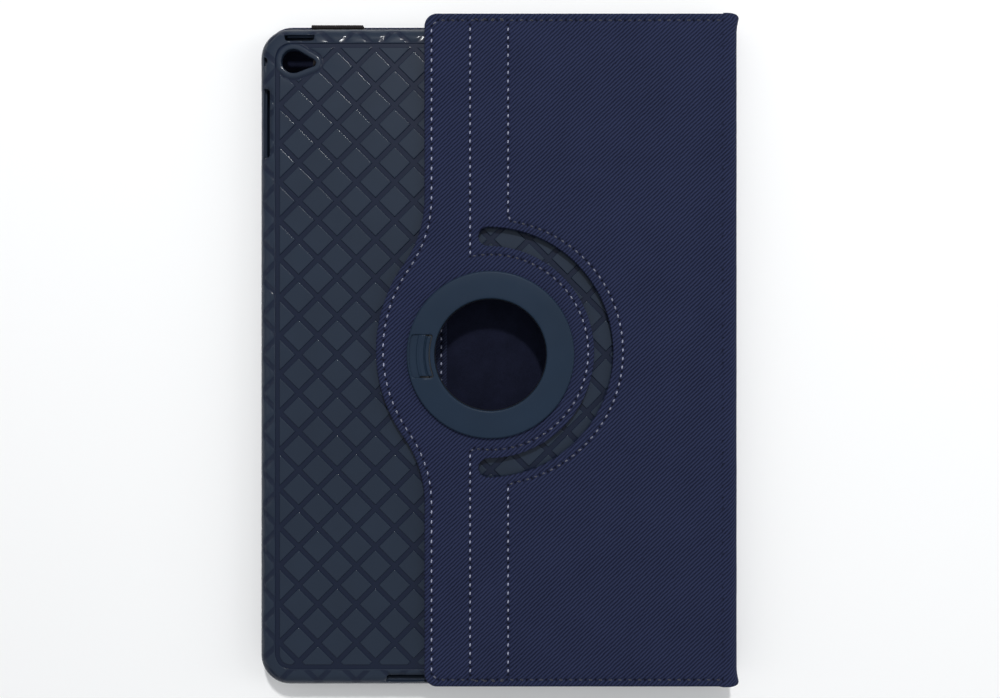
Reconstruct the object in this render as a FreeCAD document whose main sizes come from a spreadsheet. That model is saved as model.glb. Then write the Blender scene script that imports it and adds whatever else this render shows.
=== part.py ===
import FreeCAD, Part

import os

import Sketcher
from FreeCAD import Placement, Rotation, Vector

# A rotating folio for a tablet, closed and lying on its front cover.
# +X points to the spine, +Y to the camera end, +Z up through the back panel.
# The origin is under the middle of the closed case, in the plane it lies on.

doc = FreeCAD.newDocument("RotatingFolio")
sheet = doc.addObject("Spreadsheet::Sheet", "Sizes")

SIZES = [
    # the case as a whole, and the layers of its panels
    ("case_width", 185.2),
    ("case_length", 258.0),
    ("skin_gauge", 0.7),
    ("board_gauge", 1.6),
    ("lining_gauge", 0.6),
    ("sew_margin", 4.0),
    ("cover_corner", 10.5),
    ("wing_corner", 4.9),
    ("board_corner", 1.5),
    # the soft spine, a channel open towards the tray
    ("spine_depth", 6.0),
    ("spine_bend", 4.5),
    ("spine_skin_gauge", 1.1),
    # strips on the inside of the front cover that the standing tray leans against
    ("rib_width", 10.0),
    ("rib_length", 210.0),
    ("rib_height", 1.4),
    ("rib_pitch", 20.0),
    ("rib_start", 17.5),
    # magnets that wake the tablet
    ("magnet_radius", 4.0),
    ("magnet_gauge", 1.4),
    ("magnet_inset", 9.0),
    ("magnet_spacing", 76.0),
    ("fit_gap", 0.05),
    # the elastic loop for a pen, pressed flat
    ("loop_width", 20.5),
    ("loop_length", 16.0),
    ("loop_gauge", 1.0),
    ("loop_offset", 60.6),
    ("loop_reach", 3.3),
    ("loop_standing", 4.6),
    ("loop_bulge", 1.7),
    # the centre of the swivel
    ("hub_x", -2.5),
    ("hub_y", -1.8),
    # the tray and the room in it for the tablet, about the tray's own centre
    ("tray_x", -0.45),
    ("tray_y", -0.75),
    ("tray_width", 178.4),
    ("tray_length", 255.5),
    ("tray_corner", 11.5),
    ("tray_clear", 0.6),
    ("tablet_width", 174.3),
    ("tablet_length", 250.8),
    ("tablet_gauge", 7.6),
    ("tablet_corner", 10.0),
    ("lip_gauge", 1.3),
    ("lip_overlap", 1.8),
    ("back_gauge", 2.0),
    ("rim_bevel", 2.2),
    ("lip_bevel", 0.5),
    # openings in the tray, placed from the swivel along its edges
    ("camera_x", -76.2),
    ("camera_y", 113.4),
    ("camera_radius", 4.6),
    ("camera_tail", 8.9),
    ("camera_tail_width", 4.0),
    ("window_height", 5.0),
    ("window_depth", 6.0),
    ("side_inset", 1.9),
    ("head_inset", 3.3),
    ("foot_inset", 1.7),
    ("slot_width", 2.5),
    ("volume_length", 27.2),
    ("volume_y", 89.4),
    ("mic_length", 3.6),
    ("mic_y", 113.4),
    ("mic_width", 1.5),
    ("power_length", 12.0),
    ("power_x", -73.9),
    ("audio_length", 9.0),
    ("audio_x", 74.0),
    ("port_length", 81.0),
    ("port_width", 3.2),
    # the swivel, from the bore outwards
    ("bore_radius", 21.4),
    ("sleeve_radius", 24.6),
    ("running_gap", 0.3),
    ("bushing_radius", 27.8),
    ("flange_radius", 30.0),
    ("flange_gauge", 0.4),
    ("ring_radius", 32.0),
    ("ring_skirt", 0.9),
    ("ring_gauge", 0.85),
    ("insert_radius", 35.0),
    ("insert_gauge", 0.8),
    ("washer_radius", 33.4),
    ("washer_gauge", 0.3),
    ("small_washer_radius", 27.6),
    ("slip_gap", 0.1),
    ("screw_circle", 23.0),
    ("screw_radius", 0.8),
    ("screw_head_radius", 1.3),
    ("screw_head_gauge", 0.6),
    ("screw_length", 6.7),
    # the sprung tongue that clicks into the notches of the bushing
    ("tongue_inner", 23.1),
    ("tongue_outer", 31.1),
    ("tongue_half", 8.25),
    ("tongue_y", -0.55),
    ("tongue_gauge", 0.5),
    ("tongue_gap", 0.45),
    ("tooth_inner", 28.4),
    ("tooth_outer", 29.8),
    ("tooth_angle", 6.0),
    ("notch_angle", 9.0),
    # the back panel: wavy edge, curved slot and fold, about the centre of the swivel
    ("wave_edge", 25.4),
    ("wave_radius", 57.2),
    ("wave_x", 13.2),
    ("wave_y", 1.5),
    ("wave_blend", 43.4),
    ("slot_inner", 40.7),
    ("slot_outer", 48.0),
    ("slot_x", -1.0),
    ("slot_y", 1.0),
    ("fold_x", -0.6),
    ("fold_half", 8.6),
    ("island_board_radius", 36.0),
    ("leg_board_radius", 52.8),
]
for row, (alias, value) in enumerate(SIZES, start=1):
    sheet.set(f"A{row}", alias)
    sheet.set(f"B{row}", str(value))
    sheet.setAlias(f"B{row}", alias)
doc.recompute()

# Levels above the plane the case lies on, as expressions of the cells.
BOARD_TOP = "($skin_gauge + $board_gauge)"
LINING_TOP = f"({BOARD_TOP} + $lining_gauge)"
TRAY_BASE = f"({LINING_TOP} + $rib_height + $tray_clear)"
CAVITY_BASE = f"({TRAY_BASE} + $lip_gauge)"
TRAY_FLOOR = f"({CAVITY_BASE} + $tablet_gauge)"
TRAY_TOP = f"({TRAY_FLOOR} + $back_gauge)"
PANEL_BASE = f"({TRAY_TOP} + $washer_gauge + 2 * $slip_gap)"
PANEL_BOARD = f"({PANEL_BASE} + $lining_gauge)"
PANEL_SKIN = f"({PANEL_BOARD} + $board_gauge)"
PANEL_TOP = f"({PANEL_SKIN} + $skin_gauge)"
FLANGE_TOP = f"({PANEL_TOP} + $flange_gauge)"
RING_BASE = f"({FLANGE_TOP} + $washer_gauge + 2 * $slip_gap)"
RING_TOP = f"({RING_BASE} + $ring_gauge)"

# Places across the case.
FREE_EDGE = "(-$case_width / 2)"
SPINE_FOLD = "($case_width / 2 - $spine_depth)"
PANEL_EDGE = "($hub_x - $wave_edge)"
TRAY_MIDDLE = {"x": "$hub_x + $tray_x", "y": "$hub_y + $tray_y"}
TRAY_SIDE = "($hub_x + $tray_x - $tray_width / 2)"
TRAY_HEAD = "($hub_y + $tray_y + $tray_length / 2)"
TRAY_FOOT = "($hub_y + $tray_y - $tray_length / 2)"

sub_parts = []


def bind(item, **expressions):
    """Binds properties to expressions, in which $word is a cell of the sheet."""
    for name, expression in expressions.items():
        item.setExpression(name, expression.replace("$", "Sizes."))
    return item


def put(item, x="0", y="0", z="0", turn=0.0):
    """Places an item by expressions, turned about +Z by a number of degrees."""
    item.Placement = Placement(Vector(), Rotation(Vector(0, 0, 1), turn))
    for name, expression in (("x", x), ("y", y), ("z", z)):
        item.setExpression(f"Placement.Base.{name}", expression.replace("$", "Sizes."))
    return item


def keep(item, label):
    """Names a finished sub-part, whose label is also its file's name."""
    item.Label = label
    sub_parts.append(item)
    return item


def block(name, width, length, height, **place):
    """A box whose lowest corner is at the given place."""
    box = doc.addObject("Part::Box", name)
    bind(box, Length=width, Width=length, Height=height)
    return put(box, **place)


def disc(name, radius, height, angle="360", **place):
    """An upright cylinder, or a sector of one that starts at +X before its turn."""
    cylinder = doc.addObject("Part::Cylinder", name)
    bind(cylinder, Radius=radius, Height=height, Angle=angle)
    return put(cylinder, **place)


def hub_disc(name, radius, height, level, angle="360", turn=0.0):
    """A cylinder about the axis of the swivel."""
    return disc(name, radius, height, angle, x="$hub_x", y="$hub_y", z=level, turn=turn)


def fuse(name, pieces):
    joined = doc.addObject("Part::MultiFuse", name)
    joined.Shapes = pieces
    return joined


def cut(name, base, tool):
    rest = doc.addObject("Part::Cut", name)
    rest.Base = base
    rest.Tool = tool
    return rest


def common(name, base, tool):
    overlap = doc.addObject("Part::Common", name)
    overlap.Base = base
    overlap.Tool = tool
    return overlap


def group(name, pieces):
    together = doc.addObject("Part::Compound", name)
    together.Links = pieces
    return together


def hub_ring(name, inner, outer, height, level):
    """A flat ring about the axis of the swivel."""
    rim = hub_disc(name + "Rim", outer, height, level)
    bore = hub_disc(name + "Bore", inner, height, level)
    return cut(name, rim, bore)


def upright_edges(shape, wanted):
    """The names of the upright edges whose x and y the function accepts."""
    names = []
    for number, edge in enumerate(shape.Edges, start=1):
        box = edge.BoundBox
        if box.XLength + box.YLength < 1e-6 and wanted(box.XMin, box.YMin):
            names.append(f"Edge{number}")
    return names


def level_edges(shape, level):
    """The names of the edges that lie wholly at one level."""
    names = []
    for number, edge in enumerate(shape.Edges, start=1):
        box = edge.BoundBox
        if abs(box.ZMin - level) < 1e-6 and abs(box.ZMax - level) < 1e-6:
            names.append(f"Edge{number}")
    return names


def rectangle(body, name, low, high, across, along):
    """A rectangle between two corners on a body's own XY plane, with its two sizes bound."""
    plane = next(item for item in body.Origin.OriginFeatures if item.Role == "XY_Plane")
    sketch = body.newObject("Sketcher::SketchObject", name)
    sketch.AttachmentSupport = [(plane, "")]
    sketch.MapMode = "FlatFace"
    corners = [Vector(low, low), Vector(high, low), Vector(high, high), Vector(low, high)]
    following = corners[1:] + corners[:1]
    sketch.addGeometry([Part.LineSegment(a, b) for a, b in zip(corners, following)])
    for side in range(4):
        sketch.addConstraint(Sketcher.Constraint("Coincident", side, 2, (side + 1) % 4, 1))
        direction = "Vertical" if side % 2 else "Horizontal"
        sketch.addConstraint(Sketcher.Constraint(direction, side))
    for side, kind, label, size in ((0, "DistanceX", "Across", across),
                                    (1, "DistanceY", "Along", along)):
        number = sketch.addConstraint(Sketcher.Constraint(kind, side, 1, side, 2, high - low))
        sketch.renameConstraint(number, label)
        sketch.setExpression(f"Constraints.{label}", size.replace("$", "Sizes."))
    return sketch


def plate(name, width, length, height, radius=None, rounded=None, **place):
    """A rectangular plate centred on its own origin, with some corners rounded."""
    body = doc.addObject("PartDesign::Body", name)
    sketch = rectangle(body, name + "Outline", -9, 9, width, length)
    sketch.addConstraint(Sketcher.Constraint("Symmetric", 0, 1, 1, 2, -1, 1))
    pad = body.newObject("PartDesign::Pad", name + "Pad")
    pad.Profile = sketch
    bind(pad, Length=height)
    doc.recompute()
    if radius:
        corner = body.newObject("PartDesign::Fillet", name + "Corners")
        wanted = rounded or (lambda x, y: True)
        corner.Base = (pad, upright_edges(pad.Shape, wanted))
        bind(corner, Radius=radius)
        doc.recompute()
    return put(body, **place)


def at_free_edge(x, y):
    return x < 0


def make_front_cover():
    """Twill outside, a stiff board, and a lining with three ribs for standing."""
    width = f"({SPINE_FOLD} - {FREE_EDGE})"
    middle = f"(({SPINE_FOLD} + {FREE_EDGE}) / 2)"
    board_width = f"({width} - 2 * $sew_margin)"
    board_length = "($case_length - 2 * $sew_margin)"

    def board_blank(name):
        return plate(name, board_width, board_length, "$board_gauge", "$board_corner",
                     x=middle, z="$skin_gauge")

    shell = plate("FrontShell", width, "$case_length", BOARD_TOP, "$cover_corner", at_free_edge,
                  x=middle)
    keep(cut("FrontSkin", shell, board_blank("FrontPocket")), "front_skin")

    across = f"{FREE_EDGE} + $sew_margin + $magnet_inset"
    magnets = []
    seats = []
    for side in (-1, 1):
        along = f"{side} * $magnet_spacing / 2"
        magnets.append(disc("Magnet", "$magnet_radius", "$magnet_gauge",
                            x=across, y=along, z="$skin_gauge"))
        seats.append(disc("MagnetSeat", "$magnet_radius + $fit_gap", "$board_gauge",
                          x=across, y=along, z="$skin_gauge"))
    keep(cut("FrontBoard", board_blank("FrontStiffener"), fuse("MagnetSeats", seats)), "front_board")
    keep(group("WakeMagnets", magnets), "wake_magnets")

    lining = plate("FrontLining", width, "$case_length", "$lining_gauge", "$cover_corner",
                   at_free_edge, x=middle, z=BOARD_TOP)
    keep(lining, "front_lining")
    for number, label in enumerate(("stand_rib_near", "stand_rib_middle", "stand_rib_far")):
        place = f"$hub_x - $rib_start - $rib_width / 2 - {number} * $rib_pitch"
        rib = plate(f"StandRib{number}", "$rib_width", "$rib_length", "$rib_height",
                    "$board_corner", x=place, z=LINING_TOP)
        keep(rib, label)

    loop_end = f"({TRAY_HEAD} + $loop_reach)"
    flat = plate("LoopFlat", "$loop_width", "$loop_length", "$loop_gauge",
                 x="$hub_x - $loop_offset", y=f"{loop_end} - $loop_length / 2", z=LINING_TOP)
    bulge = plate("LoopBulge", "$loop_width", "$loop_bulge", "$loop_standing",
                  x="$hub_x - $loop_offset", y=f"{loop_end} - $loop_bulge / 2", z=LINING_TOP)
    keep(fuse("PenLoop", [flat, bulge]), "pen_loop")


def channel(name, inset, gauge):
    """A strip bent into a channel along the case, open towards the free edge."""
    shells = []
    for number, depth in enumerate((inset, f"({inset} + {gauge})")):
        body = doc.addObject("PartDesign::Body", f"{name}Form{number}")
        sketch = rectangle(body, f"{name}Face{number}", 0, 9, f"$spine_depth - {depth}",
                           f"{PANEL_TOP} - 2 * {depth}")
        sketch.addConstraint(Sketcher.Constraint("Coincident", 0, 1, -1, 1))
        pad = body.newObject("PartDesign::Pad", f"{name}Pad{number}")
        pad.Profile = sketch
        bind(pad, Length="$case_length")
        doc.recompute()
        bend = body.newObject("PartDesign::Fillet", f"{name}Bend{number}")
        bend.Base = (pad, upright_edges(pad.Shape, lambda x, y: x > 1))
        bind(bend, Radius=f"$spine_bend - {depth}")
        put(body, x=SPINE_FOLD, y="$case_length / 2", z=depth)
        # stands the sketch plane up, so that the strip runs along the case
        body.Placement = Placement(body.Placement.Base, Rotation(Vector(1, 0, 0), 90))
        shells.append(body)
    return cut(name, shells[0], shells[1])


def make_spine():
    keep(channel("SpineSkin", "0", "$spine_skin_gauge"), "spine_skin")
    keep(channel("SpineLining", "$spine_skin_gauge", "$lining_gauge"), "spine_lining")


def panel_blank(name, level, gauge, margin="0", corner="$wing_corner"):
    """The outline of the back panel, whose left edge swells round the swivel."""
    left = f"({PANEL_EDGE} + {margin})"
    right = f"({SPINE_FOLD} - {margin})"
    length = f"($case_length - 2 * {margin})"
    sheet_part = plate(name + "Sheet", f"{right} - {left}", length, gauge, corner, at_free_edge,
                       x=f"({right} + {left}) / 2", z=level)
    wave_x = "($hub_x + $wave_x)"
    wave_y = "($hub_y + $wave_y)"
    radius = f"($wave_radius - {margin})"
    bulge = disc(name + "Bulge", radius, gauge, x=wave_x, y=wave_y, z=level)
    # the blend arcs touch the straight edge and the bulge from outside
    blend = f"($wave_blend + {margin})"
    blend_x = f"({left} - {blend})"
    rise = f"sqrt(({radius} + {blend})^2 - ({wave_x} - {blend_x})^2)"
    reach = f"({blend} * ({wave_x} - {blend_x}) / ({radius} + {blend}))"
    web = block(name + "Web", f"{blend} - {reach}", f"2 * {rise}", gauge,
                x=f"{blend_x} + {reach}", y=f"{wave_y} - {rise}", z=level)
    hollows = [disc(name + "Blend", blend, gauge, x=blend_x, y=f"{wave_y} + {side} * {rise}", z=level)
               for side in (-1, 1)]
    fillets = cut(name + "Fillets", web, fuse(name + "Hollows", hollows))
    return fuse(name, [sheet_part, fuse(name + "Swelling", [bulge, fillets])])


def slot_tool():
    """The curved slot round the spine side of the swivel, with round ends."""
    level = PANEL_BASE
    height = f"({PANEL_TOP} - {level})"
    centre = {"x": "$hub_x + $slot_x", "y": "$hub_y + $slot_y", "z": level}
    outer = disc("SlotOuter", "$slot_outer", height, "180", turn=-90.0, **centre)
    inner = disc("SlotInner", "$slot_inner", height, **centre)
    middle = "(($slot_outer + $slot_inner) / 2)"
    ends = [disc("SlotEnd", "($slot_outer - $slot_inner) / 2", height, x=centre["x"],
                 y=f"{centre['y']} + {side} * {middle}", z=level) for side in (-1, 1)]
    return fuse("CurvedSlot", [cut("SlotArc", outer, inner), *ends])


def make_back_panel():
    """One twill skin and one lining, with separate boards either side of the fold."""
    slot = slot_tool()
    panel_gauge = f"({PANEL_TOP} - {PANEL_BASE})"
    seat = hub_disc("BushingSeat", "$bushing_radius", panel_gauge, PANEL_BASE)
    openings = fuse("PanelOpenings", [slot, seat])

    inner = panel_blank("PanelInner", PANEL_BOARD, "$board_gauge", "$sew_margin", "$board_corner")
    arc_centre = {"x": "$hub_x", "y": "$hub_y + $slot_y", "z": PANEL_BOARD}
    leg_cut = disc("LegCut", "$leg_board_radius", "$board_gauge", **arc_centre)
    fold_left = "($hub_x + $fold_x - $fold_half)"
    fold_right = "($hub_x + $fold_x + $fold_half)"
    half_length = "($case_length / 2)"

    leg_area = block("LegArea", f"{SPINE_FOLD} - {fold_right}", "$case_length", "$board_gauge",
                     x=fold_right, y=f"-{half_length}", z=PANEL_BOARD)
    leg = cut("LegBoard", common("LegSheet", inner, leg_area), leg_cut)
    keep(leg, "leg_board")

    wing_area = block("WingArea", f"{fold_left} - {FREE_EDGE}", "$case_length", "$board_gauge",
                      x=FREE_EDGE, y=f"-{half_length}", z=PANEL_BOARD)
    island = disc("IslandSheet", "$island_board_radius", "$board_gauge", **arc_centre)
    wing_sheet = fuse("WingSheet", [common("WingHalf", inner, wing_area), island])
    wing = cut("WingBoard", wing_sheet, seat)
    keep(wing, "wing_board")

    fold_area = block("FoldArea", "2 * $fold_half", "$case_length - 2 * $sew_margin", "$board_gauge",
                      x=fold_left, y=f"$sew_margin - {half_length}", z=PANEL_BOARD)
    fold = cut("FoldStrips", fold_area, leg_cut)
    keep(fold, "fold_strips")

    blank = panel_blank("PanelBlank", PANEL_BOARD, f"{PANEL_TOP} - {PANEL_BOARD}")
    keep(cut("BackSkin", blank, fuse("PanelFillers", [leg, wing, fold, openings])), "back_skin")

    lining = panel_blank("PanelLiner", PANEL_BASE, "$lining_gauge")
    keep(cut("BackLining", lining, openings), "back_lining")


def edge_slot(name, edge, length, middle, inset, width="$slot_width"):
    """A slot through the back, beside one edge of the tray."""
    along = f"{middle} - {length} / 2"
    place = {
        "side": {"x": f"{TRAY_SIDE} + {inset}", "y": along},
        "head": {"x": along, "y": f"{TRAY_HEAD} - {inset} - {width}"},
        "foot": {"x": along, "y": f"{TRAY_FOOT} + {inset}"},
    }[edge]
    size = (width, length) if edge == "side" else (length, width)
    return block(name, *size, "$back_gauge", z=TRAY_FLOOR, **place)


def wall_window(name, edge, length, middle):
    """A window through the tray's wall, level with the tablet's edge."""
    along = f"{middle} - {length} / 2"
    depth = "$window_depth"
    place = {
        "side": {"x": f"{TRAY_SIDE} - {depth} / 2", "y": along},
        "head": {"x": along, "y": f"{TRAY_HEAD} - {depth} / 2"},
        "foot": {"x": along, "y": f"{TRAY_FOOT} - {depth} / 2"},
    }[edge]
    size = (depth, length) if edge == "side" else (length, depth)
    level = f"({CAVITY_BASE} + ($tablet_gauge - $window_height) / 2)"
    return block(name, *size, "$window_height", z=level, **place)


def make_tray():
    """A soft shell that grips the tablet, with a stiff insert for the swivel."""
    height = f"({TRAY_TOP} - {TRAY_BASE})"
    outside = plate("TrayOutside", "$tray_width", "$tray_length", height, "$tray_corner",
                    z=TRAY_BASE, **TRAY_MIDDLE)
    tip = outside.Tip
    rim = outside.newObject("PartDesign::Chamfer", "TrayRim")
    rim.Base = (tip, level_edges(tip.Shape, tip.Shape.BoundBox.ZMax))
    bind(rim, Size="$rim_bevel")
    doc.recompute()
    edge = outside.newObject("PartDesign::Chamfer", "TrayLipEdge")
    edge.Base = (rim, level_edges(rim.Shape, rim.Shape.BoundBox.ZMin))
    bind(edge, Size="$lip_bevel")

    cavity = plate("TabletRoom", "$tablet_width", "$tablet_length", "$tablet_gauge",
                   "$tablet_corner", z=CAVITY_BASE, **TRAY_MIDDLE)
    mouth = plate("TrayMouth", "$tablet_width - 2 * $lip_overlap",
                  "$tablet_length - 2 * $lip_overlap", f"{CAVITY_BASE} - {TRAY_BASE}",
                  "$tablet_corner - $lip_overlap", z=TRAY_BASE, **TRAY_MIDDLE)
    hub_hole = hub_disc("HubHole", "$sleeve_radius", "$back_gauge", TRAY_FLOOR)
    insert_seat = hub_disc("InsertSeat", "$insert_radius", "$insert_gauge", TRAY_FLOOR)
    lens = disc("CameraHole", "$camera_radius", "$back_gauge",
                x="$hub_x + $camera_x", y="$hub_y + $camera_y", z=TRAY_FLOOR)
    tail = block("CameraTail", "$camera_tail", "$camera_tail_width", "$back_gauge",
                 x="$hub_x + $camera_x", y="$hub_y + $camera_y - $camera_tail_width / 2",
                 z=TRAY_FLOOR)
    volume, power = "($hub_y + $volume_y)", "($hub_x + $power_x)"
    audio, port = "($hub_x + $audio_x)", "$hub_x"
    slots = [
        edge_slot("VolumeSlot", "side", "$volume_length", volume, "$side_inset"),
        edge_slot("MicSlot", "side", "$mic_length", "($hub_y + $mic_y)", "$side_inset", "$mic_width"),
        edge_slot("PowerSlot", "head", "$power_length", power, "$head_inset"),
        edge_slot("AudioSlot", "head", "$audio_length", audio, "$head_inset"),
        edge_slot("PortSlot", "foot", "$port_length", port, "$foot_inset", "$port_width"),
        wall_window("VolumeWindow", "side", "$volume_length", volume),
        wall_window("PowerWindow", "head", "$power_length", power),
        wall_window("AudioWindow", "head", "$audio_length", audio),
        wall_window("PortWindow", "foot", "$port_length", port),
    ]
    room = fuse("TrayRoom", [cavity, mouth, hub_hole, insert_seat, lens, tail, *slots])
    keep(cut("TrayShell", outside, room), "tray_shell")


def screw_places():
    """Six places round the sleeve, clear of the sprung tongue."""
    for number in range(6):
        angle = 60 * number + 30
        yield f"$hub_x + $screw_circle * cos({angle})", f"$hub_y + $screw_circle * sin({angle})"


def tongue_area(name, height, inner="$tongue_inner", gap="0"):
    """The tongue's part of the ring: between two arcs, with straight ends."""
    band = hub_ring(name + "Band", inner, "$tongue_outer", height, RING_BASE)
    half = f"($tongue_half - {gap})"
    sector = block(name + "Sector", "$ring_radius", f"2 * {half}", height,
                   x="$hub_x - $ring_radius", y=f"$hub_y + $tongue_y - {half}", z=RING_BASE)
    return common(name, band, sector)


def make_hub():
    """The swivel: an insert with a sleeve, a bushing in the panel, and a ring on top."""
    screws = []
    holes = []
    for x, y in screw_places():
        head = disc("ScrewHead", "$screw_head_radius", "$screw_head_gauge", x=x, y=y, z=TRAY_FLOOR)
        shank = disc("ScrewShank", "$screw_radius", "$screw_length", x=x, y=y, z=TRAY_FLOOR)
        screws.append(fuse("Screw", [head, shank]))
        seat = disc("ScrewSeat", "$screw_head_radius + $fit_gap", "$screw_head_gauge",
                    x=x, y=y, z=TRAY_FLOOR)
        bore = disc("ScrewBore", "$screw_radius + $fit_gap", "$screw_length", x=x, y=y, z=TRAY_FLOOR)
        holes.append(fuse("ScrewHole", [seat, bore]))
    keep(group("HubScrews", screws), "hub_screws")
    screw_holes = fuse("ScrewHoles", holes)

    plinth = hub_ring("InsertFlange", "$bore_radius", "$insert_radius", "$insert_gauge", TRAY_FLOOR)
    sleeve = hub_ring("InsertSleeve", "$bore_radius", "$sleeve_radius",
                      f"{RING_BASE} - {TRAY_FLOOR}", TRAY_FLOOR)
    keep(cut("HubInsert", fuse("InsertBody", [plinth, sleeve]), screw_holes), "hub_insert")

    running = "($sleeve_radius + $running_gap)"
    barrel = hub_ring("BushingBarrel", running, "$bushing_radius", f"{FLANGE_TOP} - {PANEL_BASE}",
                      PANEL_BASE)
    flange = hub_ring("BushingFlange", running, "$flange_radius", "$flange_gauge", PANEL_TOP)
    notches = []
    for quarter in range(4):
        start = 90.0 * quarter - sheet.get("notch_angle") / 2
        wedge = hub_disc("Notch", "$ring_radius", "$flange_gauge", PANEL_TOP, "$notch_angle", start)
        notches.append(wedge)
    keeper = hub_disc("NotchKeeper", "$small_washer_radius", "$flange_gauge", PANEL_TOP)
    gaps = cut("NotchGaps", fuse("Notches", notches), keeper)
    keep(cut("HubBushing", fuse("BushingBody", [barrel, flange]), gaps), "hub_bushing")

    lower = hub_ring("LowerWasher", running, "$washer_radius", "$washer_gauge",
                     f"{TRAY_TOP} + $slip_gap")
    keep(lower, "lower_washer")
    upper = hub_ring("UpperWasher", running, "$small_washer_radius", "$washer_gauge",
                     f"{FLANGE_TOP} + $slip_gap")
    keep(upper, "upper_washer")

    disc_part = hub_ring("RingDisc", "$bore_radius", "$ring_radius", "$ring_gauge", RING_BASE)
    skirt = hub_ring("RingSkirt", "$ring_radius - $ring_skirt", "$ring_radius",
                     f"{RING_BASE} - {PANEL_TOP} - $slip_gap", f"{PANEL_TOP} + $slip_gap")
    window = tongue_area("TongueWindow", "$ring_gauge")
    ring_body = fuse("RingBody", [disc_part, skirt])
    keep(cut("SwivelRing", ring_body, fuse("RingOpenings", [window, screw_holes])), "swivel_ring")

    blade = tongue_area("TongueBlade", "$tongue_gauge", "$tongue_inner + $tongue_gap", "$tongue_gap")
    tooth_start = 180.0 - sheet.get("tooth_angle") / 2
    tooth_depth = f"({RING_BASE} - {FLANGE_TOP} + $flange_gauge / 2)"
    tooth_level = f"({RING_BASE} - {tooth_depth})"
    tooth_outer = hub_disc("ToothOuter", "$tooth_outer", tooth_depth, tooth_level,
                           "$tooth_angle", tooth_start)
    tooth_inner = hub_disc("ToothInner", "$tooth_inner", tooth_depth, tooth_level)
    tooth = cut("TongueTooth", tooth_outer, tooth_inner)
    keep(fuse("DetentTongue", [blade, tooth]), "detent_tongue")


def check_and_write():
    """Stops on any failed object, then writes each sub-part to its own file."""
    doc.recompute()
    for item in doc.Objects:
        if "Invalid" in item.State or "Error" in item.State:
            raise RuntimeError(f"{item.Name} failed: {item.State}")
    for item in sub_parts:
        if item.Shape.isNull() or not item.Shape.isValid():
            raise RuntimeError(f"{item.Label} has no valid shape")
        if not item.Shape.Solids:
            raise RuntimeError(f"{item.Label} holds no solid")
    os.makedirs("parts", exist_ok=True)
    for item in sub_parts:
        item.Shape.exportStep(f"parts/{item.Label}.step")
        box = item.Shape.BoundBox
        print(f"{item.Label}: {len(item.Shape.Solids)} solids, {item.Shape.Volume:.0f} mm3, "
              f"x {box.XMin:.2f} {box.XMax:.2f}, y {box.YMin:.2f} {box.YMax:.2f}, "
              f"z {box.ZMin:.2f} {box.ZMax:.2f}")


make_front_cover()
make_spine()
make_back_panel()
make_tray()
make_hub()
check_and_write()
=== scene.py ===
import math

import bmesh
import bpy
import numpy as np
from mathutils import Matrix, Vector, noise
from mathutils.geometry import delaunay_2d_cdt


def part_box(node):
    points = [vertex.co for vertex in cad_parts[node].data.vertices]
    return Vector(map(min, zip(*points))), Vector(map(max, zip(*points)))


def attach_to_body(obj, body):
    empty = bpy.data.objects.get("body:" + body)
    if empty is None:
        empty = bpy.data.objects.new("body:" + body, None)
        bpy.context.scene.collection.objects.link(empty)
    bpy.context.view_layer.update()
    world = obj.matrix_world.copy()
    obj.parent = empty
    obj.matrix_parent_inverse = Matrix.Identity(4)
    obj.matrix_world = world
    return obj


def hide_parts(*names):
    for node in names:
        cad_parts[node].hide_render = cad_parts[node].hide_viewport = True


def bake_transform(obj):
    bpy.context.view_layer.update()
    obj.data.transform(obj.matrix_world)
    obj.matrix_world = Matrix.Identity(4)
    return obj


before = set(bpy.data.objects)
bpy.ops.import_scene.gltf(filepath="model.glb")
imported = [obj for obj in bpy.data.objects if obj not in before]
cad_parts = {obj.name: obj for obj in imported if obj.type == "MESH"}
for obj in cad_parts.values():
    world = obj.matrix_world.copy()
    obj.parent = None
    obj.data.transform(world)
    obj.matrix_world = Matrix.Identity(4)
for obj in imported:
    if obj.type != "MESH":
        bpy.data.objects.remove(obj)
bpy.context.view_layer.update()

# Lengths are in millimetres, in the frame of the CAD. Meshes and the stage are in metres.
MM = 0.001


def corners(node):
    """The lowest and highest corner of a CAD node, in millimetres."""
    low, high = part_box(node)
    return np.array(low) / MM, np.array(high) / MM


RING_LOW, RING_HIGH = corners("swivel_ring")
HUB = (RING_LOW[:2] + RING_HIGH[:2]) / 2
PANEL_LOW, PANEL_HIGH = corners("back_skin")
LINER_LOW, LINER_HIGH = corners("back_lining")
FRONT_LOW, FRONT_HIGH = corners("front_skin")
FELT_LOW, FELT_HIGH = corners("front_lining")
SPINE_LOW, SPINE_HIGH = corners("spine_skin")
TRAY_LOW, TRAY_HIGH = corners("tray_shell")
LOOP_LOW, LOOP_HIGH = corners("pen_loop")
HALF = PANEL_HIGH[1]
SPINE_X = PANEL_HIGH[0]

# The back panel, about the centre of the swivel.
WAVE_EDGE = 25.4
WAVE_CENTRE = HUB + (13.2, 1.5)
WAVE_RADIUS = 57.2
WAVE_BLEND = 43.4
WING_CORNER = 4.9
COVER_CORNER = 10.5
SLOT_CENTRE = HUB + (-1.0, 1.0)
SLOT_INNER, SLOT_OUTER = 40.7, 48.0
SEAT_RADIUS = 27.8
ARC_CENTRE = HUB + (0.0, 1.0)
FOLD_LEFT, FOLD_RIGHT = HUB[0] - 7.85, HUB[0] + 6.7
FOLD_INNER, FOLD_OUTER = 37.4, 50.7
SEAM_INSET = 2.8
LINING_INSET = 0.7
STITCH_PITCH = 3.3
EDGE_PITCH = 3.75
TACK_REACH = 0.42
SPINE_STEPS = 60  # an outline starts with this many steps up its spine side

# The twill: diagonal ribs, measured across them.
TWILL_PITCH = 1.144
TWILL_ANGLE = math.radians(47)

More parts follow.
